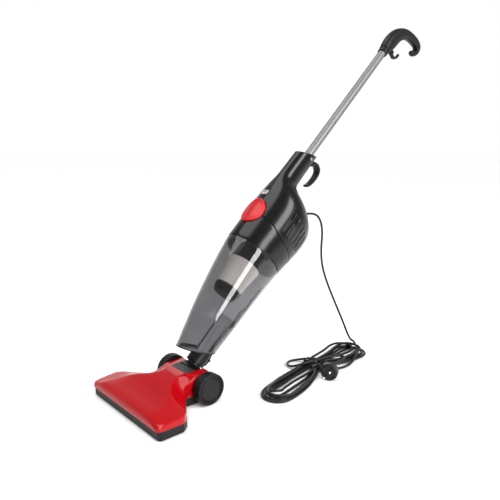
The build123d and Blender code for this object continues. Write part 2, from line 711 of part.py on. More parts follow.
with BuildPart() as exhaust_foam:
    body_loft(UNIT_STATIONS, SHELL + 0.5)
    split(bisect_by=STICK.offset(374), keep=Keep.BOTTOM)
    split(bisect_by=STICK.offset(341), keep=Keep.TOP)
    body_loft(UNIT_STATIONS, SHELL + 6, mode=Mode.SUBTRACT)
    stick_block((-90, 90), (-140, -66), (330, 400), mode=Mode.SUBTRACT)
finish(exhaust_foam.part, "exhaust_foam")

# ---- pole and top handle -------------------------------------------------------------
with BuildPart() as pole_tube:
    stick_rod(POLE_Y, 512, 975, POLE_R)
    stick_rod(POLE_Y, 511, 976, POLE_R - POLE_WALL, mode=Mode.SUBTRACT)
    cross_rod(sideways(POLE_Y, 541), 5, 12, 1.8, mode=Mode.SUBTRACT)
finish(pole_tube.part, "pole_tube")

with BuildPart() as handle_collar:
    stick_rod(POLE_Y, 932, 947.8, 13)
    stick_rod(POLE_Y, 931, 949, POLE_R + 0.03, mode=Mode.SUBTRACT)
finish(handle_collar.part, "handle_collar")

# Sections of the cane-shaped handle: y, z, turn, half width, half depth.
HANDLE_STATIONS = (
    (POLE_Y, 948, 0, 13.5, 14.5),
    (POLE_Y + 0.5, 965, 0, 14, 19),
    (-80, 990, 3, 14, 20),
    (-74, 1020, 16, 13.5, 17.5),
    (-58, 1047, 42, 13, 14.5),
    (-36, 1065, 62, 12.5, 12.5),
    (-10, 1077, 72, 12, 11.5),
    (7, 1078, 115, 11, 9.5),
    (12, 1063, 170, 10, 8.5),
    (5, 1050, 225, 9, 8),
    (-3, 1046, 255, 7, 6),
)
with BuildPart() as top_handle:
    handle_sections = []
    for y, z, turn, half, depth in HANDLE_STATIONS:
        with BuildSketch(across(y, z, turn)):
            Ellipse(half, depth)
    loft()
    stick_rod(POLE_Y, 940, 976, POLE_R + 0.03, mode=Mode.SUBTRACT)
    with BuildSketch(frontal(-66, 968)):
        Circle(2.5 + FIT)
    extrude(amount=-20, mode=Mode.SUBTRACT)
finish(top_handle.part, "top_handle")

with BuildPart() as upper_hook:
    with BuildSketch(frontal(-58, 968)):
        Circle(7)
    extrude(amount=-3.5)
    with BuildSketch(frontal(-65.5, 968)):
        Circle(2.5)
    extrude(amount=-8)
    with BuildSketch(sideways(0, 0, -4.5)):
        Polygon(
            (-55.5, 961), (-44, 959), (-37, 965), (-32, 978), (-31, 992), (-37, 994),
            (-40, 982), (-46, 973), (-55.5, 974), align=None,
        )
    extrude(amount=9)
finish(upper_hook.part, "upper_hook")

# ---- mains cord: lead, hank, tie and plug --------------------------------------------
def slab(points, low, high, mode=Mode.ADD):
    """Flat slab of a plan outline given from the axle, from height low to high."""
    with BuildSketch(head_top(low)) as plan:
        Polygon(*points, align=None)
    extrude(plan.sketch, amount=high - low, mode=mode)


route = [Vector(x, AXLE_Y + y, z) for x, y, z in LEAD_ROUTE]
radii = []
for before, corner, after in zip(route, route[1:], route[2:]):
    run_in = corner - before
    run_out = after - corner
    turn = run_in.get_angle(run_out)
    shorter = min(run_in.length, run_out.length)
    radii.append(0.45 * shorter / math.tan(math.radians(turn / 2)))
print("lead radii", [round(radius, 1) for radius in radii])

with BuildPart() as cord_lead:
    with BuildLine() as lead_path:
        FilletPolyline(*route, radius=radii)
    with BuildSketch(Plane(origin=route[0], z_dir=route[1] - route[0])):
        Circle(CORD_R)
    sweep(path=lead_path.wire())
finish(cord_lead.part, "cord_lead")
lead_length = lead_path.wire().length
print("lead length", round(lead_length, 1), "volume ratio",
      round(cord_lead.part.volume / (math.pi * CORD_R**2 * lead_length), 4))

with BuildPart() as cord_hank:
    slab(LOOSE_LOOPS, 0, 13)
    slab(BUNDLE, 0, HANK_TOP)
    slab(STRAY_LOOP, 0, 2 * CORD_R)
    block((60, 114), (279, 291), (-1, 30), mode=Mode.SUBTRACT)
    block((62, 112), (278, 292), (1, 24))
finish(cord_hank.part, "cord_hank")

with BuildPart() as cord_tie:
    block((60.8, 113.2), (279.3, 290.7), (0, 25.2))
    block((62, 112), (279, 291), (1, 24), mode=Mode.SUBTRACT)
finish(cord_tie.part, "cord_tie")

plug_turn = math.radians(PLUG_TURN)
PLUG_AHEAD = Vector(math.sin(plug_turn), -math.cos(plug_turn), 0)
PLUG_CENTRE = Vector(PLUG_X, AXLE_Y + PLUG_Y, PLUG_R)


def plug_plane(ahead):
    """Plane across the plug, facing its pins, some way ahead of the middle of its round body."""
    return Plane(origin=PLUG_CENTRE + PLUG_AHEAD * ahead, x_dir=(0, 0, 1), z_dir=PLUG_AHEAD)


with BuildPart() as plug_body:
    with BuildSketch(plug_plane(-8)):
        Circle(PLUG_R)
    extrude(amount=16)
    for back, front in (((-24, 11), (-8, PLUG_R)), ((-46, 4), (-24, 6.5))):
        rings = []
        for ahead, radius in (back, front):
            with BuildSketch(plug_plane(ahead)) as ring:
                Circle(radius)
            rings.append(ring.sketch)
        loft(rings)
finish(plug_body.part, "plug_body")

with BuildPart() as plug_pins:
    with BuildSketch(plug_plane(8)):
        with Locations((7.1, -6.4), (-7.1, 6.4)):
            Circle(2.4)
    extrude(amount=19)
finish(plug_pins.part, "plug_pins")
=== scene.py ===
"""Looks of the corded stick vacuum cleaner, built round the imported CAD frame."""
import json
import math
import random

import bmesh
import bpy
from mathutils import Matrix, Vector


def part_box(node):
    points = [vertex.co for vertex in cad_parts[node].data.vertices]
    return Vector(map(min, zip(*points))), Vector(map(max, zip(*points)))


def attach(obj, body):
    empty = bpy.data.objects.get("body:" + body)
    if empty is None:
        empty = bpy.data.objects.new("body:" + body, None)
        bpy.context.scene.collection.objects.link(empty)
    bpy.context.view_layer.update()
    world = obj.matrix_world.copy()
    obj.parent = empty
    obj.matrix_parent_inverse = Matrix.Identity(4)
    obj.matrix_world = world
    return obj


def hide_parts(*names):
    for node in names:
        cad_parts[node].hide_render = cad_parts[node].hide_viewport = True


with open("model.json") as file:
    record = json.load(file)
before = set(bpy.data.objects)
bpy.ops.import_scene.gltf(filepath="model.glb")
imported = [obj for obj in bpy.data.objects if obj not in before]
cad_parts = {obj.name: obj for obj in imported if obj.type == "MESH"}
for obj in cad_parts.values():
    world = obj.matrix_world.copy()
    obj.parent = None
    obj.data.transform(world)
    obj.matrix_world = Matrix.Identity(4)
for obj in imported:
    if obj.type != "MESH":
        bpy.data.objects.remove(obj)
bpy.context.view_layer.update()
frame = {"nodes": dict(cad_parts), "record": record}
nodes = frame["nodes"]
joints = {joint["name"]: joint for joint in frame["record"]["behaviour"]["joints"]}
random.seed(7)

# ---- places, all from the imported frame, lengths below in millimetres -------------------
MM = 0.001
PIVOT = Vector(joints["head_tilt"]["pos_m"])
UP = Vector(joints["neck_swivel"]["axis"])              # up the stick
BACK = Vector(joints["release_button_press"]["axis"])   # from the stick's front to its back
ACROSS = Vector((1, 0, 0))
AXLE = Vector(joints["left_wheel_spin"]["pos_m"])


def stick(x, y, z):
    """Point in the stick's own frame: across, towards its back, up the stick."""
    return PIVOT + (ACROSS * x + BACK * y + UP * z) * MM


def head(x, y, z):
    """Point in the head's own frame, level with the floor, y counted from the axle."""
    return Vector((x * MM, AXLE.y + y * MM, z * MM))


def stick_depth(point):
    """How far a point lies towards the back of the stick, in stick millimetres."""
    return (Vector(point) - PIVOT).dot(BACK) / MM


def around(count):
    """Angles evenly spaced round a circle."""
    return [2 * math.pi * step / count for step in range(count)]


def squared(angle, power):
    """Cosine and sine of an angle, bent so that a circle becomes a rounded square below power 1."""
    c, s = math.cos(angle), math.sin(angle)
    return math.copysign(abs(c) ** power, c), math.copysign(abs(s) ** power, s)


def place_by_axes(obj, axes, place):
    """Set an object's axes and its origin."""
    matrix = obj.matrix_world.copy()
    for column, direction in enumerate(axes):
        for row in range(3):
            matrix[row][column] = direction[row]
    matrix.translation = Vector(place)
    obj.matrix_world = matrix


# ---- camera ---------------------------------------------------------------------------
CAMERA_DEGREES = (47.891, 10.806, 0.454)
FOCAL_LENGTH = 37.45
CAMERA_PLACE = (0.8315, AXLE.y - 0.5855, 0.4954)


def make_camera():
    """The photo's camera: angles and distance were fitted to marks read from the photo."""
    azimuth, pitch, roll = (math.radians(value) for value in CAMERA_DEGREES)
    ahead = Vector((
        -math.sin(azimuth) * math.cos(pitch), math.cos(azimuth) * math.cos(pitch), -math.sin(pitch),
    ))
    right = Vector((math.cos(azimuth), math.sin(azimuth), 0))
    up = right.cross(ahead)
    turned_right = right * math.cos(roll) + up * math.sin(roll)
    turned_up = up * math.cos(roll) - right * math.sin(roll)
    data = bpy.data.cameras.new("camera")
    data.sensor_width = 36
    data.lens = FOCAL_LENGTH
    camera = bpy.data.objects.new("camera", data)
    bpy.context.collection.objects.link(camera)
    place_by_axes(camera, (turned_right, turned_up, -ahead), CAMERA_PLACE)
    bpy.context.scene.camera = camera


make_camera()


# ---- materials ------------------------------------------------------------------------
def material(name, colour, roughness=0.4, metallic=0.0, coat=0.0, alpha=1.0, specular=0.5,
             spread=0.06, grain=900.0, bump=0.04, stretch=(1, 1, 1), shade=0.25, sheen=0.0,
             transmission=0.0, coat_roughness=0.05):
    """Principled material whose roughness, tone and fine surface all come from noise."""
    result = bpy.data.materials.new(name)
    result.use_nodes = True
    tree = result.node_tree
    shader = tree.nodes["Principled BSDF"]
    shader.inputs["Metallic"].default_value = metallic
    shader.inputs["Coat Weight"].default_value = coat
    shader.inputs["Coat Roughness"].default_value = coat_roughness
    shader.inputs["Specular IOR Level"].default_value = specular
    shader.inputs["Alpha"].default_value = alpha
    shader.inputs["Transmission Weight"].default_value = transmission
    shader.inputs["Sheen Weight"].default_value = sheen
    place = tree.nodes.new("ShaderNodeTexCoord")
    scale = tree.nodes.new("ShaderNodeMapping")
    scale.inputs["Scale"].default_value = stretch
    tree.links.new(place.outputs["Object"], scale.inputs["Vector"])

    cloud = tree.nodes.new("ShaderNodeTexNoise")
    cloud.inputs["Scale"].default_value = 38
    cloud.inputs["Detail"].default_value = 3
    tree.links.new(scale.outputs["Vector"], cloud.inputs["Vector"])
    rough = tree.nodes.new("ShaderNodeMapRange")
    rough.inputs["To Min"].default_value = max(0.01, roughness - spread)
    rough.inputs["To Max"].default_value = roughness + spread
    tree.links.new(cloud.outputs["Fac"], rough.inputs["Value"])
    tree.links.new(rough.outputs["Result"], shader.inputs["Roughness"])

    tone = tree.nodes.new("ShaderNodeMix")
    tone.data_type = "RGBA"
    tone.inputs[6].default_value = (*[channel * (1 - shade) for channel in colour], 1)
    tone.inputs[7].default_value = (*[min(1, channel * (1 + shade)) for channel in colour], 1)
    tree.links.new(cloud.outputs["Fac"], tone.inputs["Factor"])
    tree.links.new(tone.outputs[2], shader.inputs["Base Color"])

    fine = tree.nodes.new("ShaderNodeTexNoise")
    fine.inputs["Scale"].default_value = grain
    fine.inputs["Detail"].default_value = 2
    tree.links.new(scale.outputs["Vector"], fine.inputs["Vector"])
    relief = tree.nodes.new("ShaderNodeBump")
    relief.inputs["Strength"].default_value = bump
    relief.inputs["Distance"].default_value = 0.0006
    tree.links.new(fine.outputs["Fac"], relief.inputs["Height"])
    tree.links.new(relief.outputs["Normal"], shader.inputs["Normal"])
    return result


RED = material("gloss_red", (0.34, 0.001, 0.004), 0.16, coat=0.35, specular=0.1, spread=0.03,
    grain=500, bump=0.02, shade=0.08)
BUTTON_RED = material("button_red", (0.48, 0.001, 0.006), 0.34, coat=0.1, specular=0.3, grain=1500,
    bump=0.08, shade=0.08)
SATIN_BLACK = material("satin_black", (0.006, 0.006, 0.0065), 0.36, specular=0.2, grain=1800, bump=0.08)
BODY_BLACK = material("body_black", (0.003, 0.003, 0.0033), 0.22, coat=0.1, specular=0.22,
    spread=0.03, grain=1300, bump=0.03, coat_roughness=0.12)
BASE_BLACK = material("base_black", (0.009, 0.0095, 0.010), 0.50, specular=0.2, grain=1400, bump=0.12)
GUARD_GREY = material("guard_grey", (0.030, 0.031, 0.034), 0.55, specular=0.25, grain=2200, bump=0.2)
DARK = material("vent_dark", (0.004, 0.004, 0.004), 0.6, bump=0.1)
RUBBER = material("tyre_rubber", (0.005, 0.005, 0.005), 0.48, specular=0.2, grain=1600, bump=0.2)
HUB_BLACK = material("hub_black", (0.008, 0.008, 0.0085), 0.42, specular=0.2, grain=2400, bump=0.15)
DUCT_GREY = material("duct_grey", (0.10, 0.10, 0.11), 0.45, grain=1200, bump=0.08)
FILTER_BLACK = material("filter_black", (0.012, 0.012, 0.013), 0.45, specular=0.25, grain=1500,
    bump=0.08)
PAPER = material("filter_paper", (0.86, 0.83, 0.77), 0.85, grain=2600, bump=0.5, shade=0.08)
ALUMINIUM = material("satin_aluminium", (0.20, 0.20, 0.205), 0.55, metallic=1.0, spread=0.03,
    grain=300, bump=0.0, shade=0.05)
HANDLE_BLACK = material("handle_black", (0.005, 0.005, 0.0055), 0.40, specular=0.2, grain=1900,
    bump=0.12)
CORD_BLACK = material("cord_black", (0.008, 0.008, 0.008), 0.38, specular=0.25, grain=1300, bump=0.1)
PLUG_BLACK = material("plug_black", (0.010, 0.010, 0.011), 0.34, specular=0.25, grain=1500, bump=0.1)
NICKEL = material("nickel", (0.78, 0.77, 0.75), 0.2, metallic=1.0, grain=900, bump=0.03, shade=0.05)
STEEL = material("bright_steel", (0.62, 0.62, 0.63), 0.28, metallic=1.0, grain=1200, bump=0.05,
    shade=0.08)
SILVER_TRIM = material("silver_trim", (0.72, 0.72, 0.74), 0.22, metallic=0.9, coat=0.4, bump=0.02,
    shade=0.05)
NYLON = material("natural_nylon", (0.70, 0.70, 0.66), 0.5, bump=0.1)
IRON = material("core_iron", (0.22, 0.20, 0.19), 0.5, metallic=0.8, bump=0.2)
COPPER = material("copper", (0.72, 0.36, 0.20), 0.3, metallic=1.0, bump=0.1)
CARBON = material("carbon", (0.03, 0.03, 0.03), 0.6, bump=0.2)
FOAM = material("foam", (0.045, 0.045, 0.045), 0.9, grain=700, bump=0.8)
BRISTLE = material("bristle", (0.03, 0.03, 0.03), 0.7, grain=3000, bump=0.6)


# ---- mesh helpers ---------------------------------------------------------------------
def new_object(name, vertices, faces, coat, smooth=True):
    """Mesh object from points in metres, with its normals made consistent."""
    mesh = bpy.data.meshes.new(name)
    mesh.from_pydata([tuple(point) for point in vertices], [], faces)
    tidy = bmesh.new()
    tidy.from_mesh(mesh)
    bmesh.ops.remove_doubles(tidy, verts=tidy.verts, dist=1e-6)
    bmesh.ops.recalc_face_normals(tidy, faces=tidy.faces)
    tidy.to_mesh(mesh)
    tidy.free()
    for polygon in mesh.polygons:
        polygon.use_smooth = smooth
    mesh.materials.append(coat)
    result = bpy.data.objects.new(name, mesh)
    bpy.context.collection.objects.link(result)
    return result


def skin(name, rings, coat, closed=True, start_cap=True, end_cap=True):
    """Surface through rings of points; every ring has the same number of points."""
    count = len(rings[0])
    vertices = [point for ring in rings for point in ring]
    faces = []
    steps = count if closed else count - 1
    for row in range(len(rings) - 1):
        for column in range(steps):
            after = (column + 1) % count
            faces.append((
                row * count + column, row * count + after,
                (row + 1) * count + after, (row + 1) * count + column,
            ))
    if start_cap:
        faces.append(tuple(range(count)))
    if end_cap:
        faces.append(tuple(range(len(vertices) - count, len(vertices))))
    return new_object(name, vertices, faces, coat)


def lathe(name, centre, axis, profile, coat, steps=64, across=None):
    """Solid of revolution: the profile holds (radius, way along the axis) in millimetres."""
    axis = Vector(axis).normalized()
    first = Vector(across) if across else axis.orthogonal().normalized()
    second = axis.cross(first)
    rings = []
    for radius, along in profile:
        ring = []
        for angle in around(steps):
            out = first * math.cos(angle) + second * math.sin(angle)
            ring.append(Vector(centre) + (axis * along + out * max(radius, 0.001)) * MM)
        rings.append(ring)
    open_ends = profile[0] != profile[-1]
    return skin(name, rings, coat, start_cap=open_ends, end_cap=open_ends)


def rounded(profile, radius, steps=4):
    """The profile with each inner corner replaced by a small curve."""
    result = [profile[0]]
    for before, corner, after in zip(profile, profile[1:], profile[2:]):
        corner = Vector(corner)
        to_before = Vector(before) - corner
        to_after = Vector(after) - corner
        reach = min(radius, to_before.length * 0.45, to_after.length * 0.45)
        start = corner + to_before.normalized() * reach
        end = corner + to_after.normalized() * reach
        for step in range(steps + 1):
            part = step / steps
            result.append(tuple(start * (1 - part) ** 2 + corner * 2 * part * (1 - part) + end * part**2))
    result.append(profile[-1])
    return [tuple(point) for point in result]


def settle(obj, body, *replaced, slot=None):
    """A finished piece rides on its body, and stands for the CAD nodes that it names."""
    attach(obj, body)
    if replaced:
        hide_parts(*replaced)
    return obj


def apply_modifiers(obj):
    """Turns the modifiers of a piece into its mesh."""
    graph = bpy.context.evaluated_depsgraph_get()
    done = bpy.data.meshes.new_from_object(obj.evaluated_get(graph))
    obj.modifiers.clear()
    obj.data = done
    return obj


def soften(obj, width=0.5, segments=2, angle=35):
    """Small rounded edges, in millimetres, and smooth shading that keeps the sharp ones."""
    modifier = obj.modifiers.new("edges", "BEVEL")
    modifier.width = width * MM
    modifier.segments = segments
    modifier.limit_method = "ANGLE"
    modifier.angle_limit = math.radians(angle)
    modifier.harden_normals = True
    return obj


def interpolate(stations, height):
    """Smooth (Catmull-Rom) value of a table whose first column grows."""
    index = 0
    while index < len(stations) - 2 and stations[index + 1][0] < height:
        index += 1
    low, high = stations[index], stations[index + 1]
    before = stations[max(index - 1, 0)]
    after = stations[min(index + 2, len(stations) - 1)]
    span = high[0] - low[0]
    part = (height - low[0]) / span
    result = []
    for column in range(1, len(low)):
        slope_in = (high[column] - before[column]) / max(high[0] - before[0], 1e-6) * span
        slope_out = (after[column] - low[column]) / max(after[0] - low[0], 1e-6) * span
        p2, p3 = part * part, part**3
        result.append(
            (2 * p3 - 3 * p2 + 1) * low[column] + (p3 - 2 * p2 + part) * slope_in
            + (3 * p2 - 2 * p3) * high[column] + (p3 - p2) * slope_out
        )
    return result


def smoky_glass():
    """Smoke-tinted clear plastic: it lets lamps through, so what is inside stays lit."""
    result = material("cup_smoke_clear", (0.34, 0.335, 0.345), 0.04, spread=0.02, grain=60, bump=0.02,
                      shade=0.05, transmission=1.0)
    tree = result.node_tree
    shader = tree.nodes["Principled BSDF"]
    shader.inputs["IOR"].default_value = 1.46
    path = tree.nodes.new("ShaderNodeLightPath")
    clear = tree.nodes.new("ShaderNodeBsdfTransparent")
    clear.inputs["Color"].default_value = (0.86, 0.86, 0.87, 1)
    choice = tree.nodes.new("ShaderNodeMixShader")
    tree.links.new(path.outputs["Is Shadow Ray"], choice.inputs[0])
    tree.links.new(shader.outputs["BSDF"], choice.inputs[1])
    tree.links.new(clear.outputs["BSDF"], choice.inputs[2])
    tree.links.new(choice.outputs["Shader"], tree.nodes["Material Output"].inputs["Surface"])
    return result


SMOKE_CLEAR = smoky_glass()

# ---- mains cord: one line from the gland through the hank to the plug ------------------
CORD_RADIUS = 2.75
LEAD_ROUTE = (
    (0, 352, 347.5), (0, 378, 347.5), (1, 400, 329), (4, 405, 297), (8, 396, 257),
    (15, 394, 214), (27, 406, 165), (42, 423, 113), (55, 438, 68), (65, 452, 25.5),
)
# From the top of the bundle over its end and back along the near side to the tie.
OVER_THE_END = (
    (78, 455, 21), (98, 437, 19), (118, 412, 14), (134, 378, 6), (138, 342, 3.2),
    (128, 312, 4.5),
)
# Edges of the hank in plan as (y, x): loose loops first, then the bundle.
LOOSE_FAR = ((95, 112), (109, 101), (141, 91), (178, 84), (218, 77), (255, 70), (285, 64))
LOOSE_NEAR = ((92, 146), (101, 164), (130, 166), (170, 160), (217, 147), (250, 128), (285, 106))
BUNDLE_FAR = ((285, 64), (326, 57), (372, 50), (420, 43), (445, 45))
BUNDLE_NEAR = ((285, 106), (325, 110), (352, 116), (384, 125), (411, 129), (441, 120))
TURNS = 6
STRAY_LOOP = (
    (72, 300, 15.5), (52, 298, 9), (34, 290, 3.2), (27, 271, 2.9), (36, 252, 2.9), (56, 245, 5),
    (74, 258, 12), (84, 280, 16.5), (92, 310, 17),
)
INTO_THE_PLUG = ((97, 345, 17), (108, 366, 16.5), (124, 361, 17), (130, 338, 18.5))


def along_edge(edge, y):
    """X of an edge of the hank at y."""
    for (y0, x0), (y1, x1) in zip(edge, edge[1:]):
        if y <= y1:
            part = min(max((y - y0) / (y1 - y0), 0), 1)
            return x0 + (x1 - x0) * part
    return edge[-1][1]


def hank_turn(index):
    """One turn: from the tie round the loose end, back under the tie and round the bundle."""
    near_in = (0, 6.5, 13.5, 27, 34, 4)[index]
    far_in = (0, 6.2, 12.6, 19, 4, 11)[index]
    bundle_near = (0, 7, 14, 21, 28, 10)[index]
    bundle_far = (28, 21, 14, 7, 0, 18)[index]
    left_end = (90, 97, 105, 94, 112, 101)[index]
    right_end = (461, 455, 447, 459, 441, 451)[index]
    layer = 3.0 + 5.8 * (index // 4)
    pile = 3.0 + 2.7 * index
    column = index % 4
    points = [(106 - 6.3 * column, 285, layer + 1)]
    for y in (240, 190, 145):
        points.append((along_edge(LOOSE_NEAR, y) - near_in * min(1, (285 - y) / 80), y, layer))
    tip_near = along_edge(LOOSE_NEAR, 110) - near_in * 0.8
    tip_far = along_edge(LOOSE_FAR, 118) + far_in * 0.8
    points.append((tip_near, left_end + 22, layer + 0.6 * index))
    points.append((tip_near * 0.72 + tip_far * 0.28, left_end + 2, layer + 0.9 * index))
    points.append((tip_near * 0.28 + tip_far * 0.72, left_end + 4, layer + 0.9 * index))
    points.append((tip_far, left_end + 27, layer + 0.6 * index))
    for y in (165, 205, 245):
        points.append((along_edge(LOOSE_FAR, y) + far_in, y, layer))
    points.append((64 + 6.3 * column, 285, layer + 1))
    for y in (330, 375):
        points.append((along_edge(BUNDLE_FAR, y) + bundle_far, y, layer + 1))
    far_x = along_edge(BUNDLE_FAR, 420) + bundle_far * 0.9
    near_x = along_edge(BUNDLE_NEAR, 420) - bundle_near * 0.9
    points.append((far_x, right_end - 38, pile))
    points.append((far_x + 2, right_end - 12, pile))
    points.append((far_x * 0.66 + near_x * 0.34, right_end, pile))
    points.append((far_x * 0.34 + near_x * 0.66, right_end - 2, pile))
    points.append((near_x - 1, right_end - 20, pile))
    for y in (385, 340):
        points.append((along_edge(BUNDLE_NEAR, y) - bundle_near, y, layer + 1))
    return [
        (x + random.uniform(-1.2, 1.2), y + random.uniform(-2, 2), z + random.uniform(0, 0.8))
        for x, y, z in points
    ]


def make_cord():
    """Mains cord as one curve: along the lead, round the hank, past the stray loop and into the plug."""
    route = list(LEAD_ROUTE) + list(OVER_THE_END)
    for index in range(TURNS):
        route += hank_turn(index)
    route += STRAY_LOOP
    route += INTO_THE_PLUG
    route.append((132.5, 310, 19.5))
    data = bpy.data.curves.new("mains_cord", "CURVE")
    data.dimensions = "3D"
    spline = data.splines.new("NURBS")
    spline.points.add(len(route) - 1)
    for point, place in zip(spline.points, route):
        point.co = (*head(*place), 1)
    spline.order_u = 3
    spline.use_endpoint_u = True
    spline.resolution_u = 7
    data.bevel_depth = CORD_RADIUS * MM
    data.bevel_resolution = 4
    data.use_fill_caps = True
    data.materials.append(CORD_BLACK)
    cord = bpy.data.objects.new("mains_cord", data)
    bpy.context.collection.objects.link(cord)
    return settle(cord, "hand_unit", "cord_lead", "cord_hank", slot="cord_black")


PLUG_CENTRE = head(152, 268, 19.5)
PLUG_TURN = math.radians(25)
PLUG_AHEAD = Vector((math.sin(PLUG_TURN), -math.cos(PLUG_TURN), 0))


def make_plug():
    """Round two-pin plug on its side, with a ribbed tail."""
    profile = [(0, 6.6), (13.5, 6.6), (14.2, 8), (17.2, 8), (19.3, 6.4), (19.3, 2), (18.7, 1),
               (18.7, -5), (19.2, -6.5), (16.5, -11.5), (11.5, -20), (8, -24.5)]
    for rib in range(5):
        start = -25.5 - 4 * rib
        profile += [(6.6 - 0.5 * rib, start), (6.6 - 0.5 * rib, start - 2.3), (4.4 - 0.2 * rib, start - 2.9)]
    profile += [(3.4, -46), (0, -46)]
    body = lathe("mains_plug", PLUG_CENTRE, PLUG_AHEAD, rounded(profile, 0.8), PLUG_BLACK, steps=56)
    settle(body, "hand_unit", "plug_body", slot="plug_black")
    side = PLUG_AHEAD.cross(Vector((0, 0, 1)))
    pins = []
    for name, up, over in (("upper", 7.1, -6.4), ("lower", -7.1, 6.4)):
        root = PLUG_CENTRE + (Vector((0, 0, 1)) * up + side * over) * MM
        pin_profile = [(0, 6), (2.35, 6), (2.35, 24.5), (1.9, 26.2), (0.9, 26.9), (0, 27)]
        pin = lathe(f"plug_pin_{name}", root, PLUG_AHEAD, pin_profile, NICKEL, steps=24)
        pins.append(settle(pin, "hand_unit", "plug_pins", slot="plug_metal"))
    return [body, *pins]


def make_tie():
    """Flat tie round the bundle, with its two twisted ends."""
    low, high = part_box("cord_tie")
    centre = (low + high) / 2
    half_x = (high.x - low.x) / 2 - 0.0015
    half_z = 0.0078
    centre.z = half_z + 0.0006
    width = 0.0042
    rings = []
    for angle in around(48):
        wide, high_up = squared(angle, 0.55)
        x = half_x * wide
        z = half_z * high_up
        out = Vector((math.cos(angle), 0, math.sin(angle))).normalized() * 0.0006
        place = centre + Vector((x, 0.0012 * math.sin(3 * angle), z))
        rings.append([
            place + out + Vector((0, width, 0)), place + out - Vector((0, width, 0)),
            place - out - Vector((0, width, 0)), place - out + Vector((0, width, 0)),
        ])
    rings.append(rings[0])
    tie = skin("cord_tie_band", rings, SATIN_BLACK, start_cap=False, end_cap=False)
    settle(tie, "hand_unit", "cord_tie", slot="cord_black")
    knots = []
    for name, way in (("one", 1), ("two", -1)):
        points = []
        for step in range(14):
            part = step / 13
            points.append(centre + Vector((
                way * (0.002 + 0.016 * part), 0.004 * math.sin(5 * part) * way, half_z + 0.001 + 0.004 * part,
            )))
        knots.append(ribbon(f"cord_tie_end_{name}", points, 0.0016, SATIN_BLACK))
        settle(knots[-1], "hand_unit", slot="cord_black")
    return [tie, *knots]


def ribbon(name, points, radius, coat):
    """Thin round strip through points in metres."""
    rings = []
    for index, place in enumerate(points):
        ahead = (points[min(index + 1, len(points) - 1)] - points[max(index - 1, 0)]).normalized()
        side = ahead.cross(Vector((0, 0, 1))).normalized()
        up = side.cross(ahead)
        rings.append([
            place + (side * math.cos(angle) + up * 0.55 * math.sin(angle)) * radius
            for angle in around(10)
        ])
    return skin(name, rings, coat)


def make_strain_relief():
    """Ribbed, tapered sleeve where the lead leaves the housing."""
    low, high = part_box("cord_gland")
    start = Vector(((low.x + high.x) / 2, low.y, (low.z + high.z) / 2))
    profile = [(0, 0), (5.9, 0), (5.9, 15.5), (6.0, 17)]
    length = (high.y - low.y) / MM
    ribs = 5
    for rib in range(ribs):
        at = 17 + (length - 19) * rib / ribs
        radius = 5.9 - 1.9 * rib / ribs
        profile += [
            (radius, at + 0.4), (radius - 0.2, at + 2.8), (radius - 1.5, at + 3.3), (radius - 1.5, at + 3.9),
        ]
    profile += [(3.6, length - 1.5), (3.3, length), (0, length)]
    piece = lathe("strain_relief", start, (0, 1, 0), rounded(profile, 0.5, 2), CORD_BLACK, steps=36)
    return settle(piece, "hand_unit", "cord_gland", slot="cord_black")


cord = make_cord()
plug_pieces = make_plug()
tie_pieces = make_tie()
make_strain_relief()


# ---- wheels ---------------------------------------------------------------------------
def make_wheels():
    """Two big wheels, each a tyre, a rim and a hub cap."""
    for name, side in (("left", 1), ("right", -1)):
        centre = Vector((0, AXLE.y, AXLE.z))
        axis = (side, 0, 0)
        tyre_profile = rounded([
            (27.05, 57), (28.5, 55.1), (32, 55.3), (32, 74.2), (28.4, 75), (26.9, 74.4), (26.2, 72.6),
            (26.2, 60), (27.05, 57),
        ], 1.9, 5)
        tyre = lathe(f"{name}_wheel_tyre", centre, axis, tyre_profile, RUBBER, steps=96)
        hub_profile = rounded([
            (4.2, 55.4), (26.1, 55.4), (26.1, 72.9), (24.4, 72.9), (24.1, 71.6), (4.2, 71.6),
        ], 0.7, 3)
        hub = lathe(f"{name}_wheel_hub", centre, axis, hub_profile, HUB_BLACK, steps=96)
        cap_profile = rounded([
            (0, 73.9), (17, 73.7), (20.6, 73.4), (21.0, 72.9), (21.4, 73.3), (23.2, 73.0), (23.7, 72.4),
            (23.7, 71.8), (0, 71.8),
        ], 0.35, 3)
        cap = lathe(f"{name}_wheel_cap", centre, axis, cap_profile, HUB_BLACK, steps=96)
        settle(tyre, f"{name}_wheel", f"{name}_tyre", slot="tyre_rubber")
        settle(hub, f"{name}_wheel", f"{name}_wheel", slot="wheel_black")
        settle(cap, f"{name}_wheel", f"{name}_hub_cap", slot="wheel_black")


make_wheels()

# ---- floor head -----------------------------------------------------------------------
# Sections of the red cover along Y: half width, side height, crease half width, crease height.
COVER_STATIONS = (
    (-155, 117, 22, 110, 24), (-151, 123, 28, 97, 33.5), (-125, 124.5, 32, 87, 37),
    (-100, 124.5, 34, 78, 41), (-88, 114, 35, 66, 45), (-72, 91, 36, 42, 50),
    (-56, 62, 40, 29, 54), (-46, 52, 47, 27, 56), (-27, 52, 55, 35, 58), (14, 52, 56, 44, 59),
)
COVER_BOTTOM = 18.8
BAY_HALF = 28.3
BAY_FRONT = -27.2


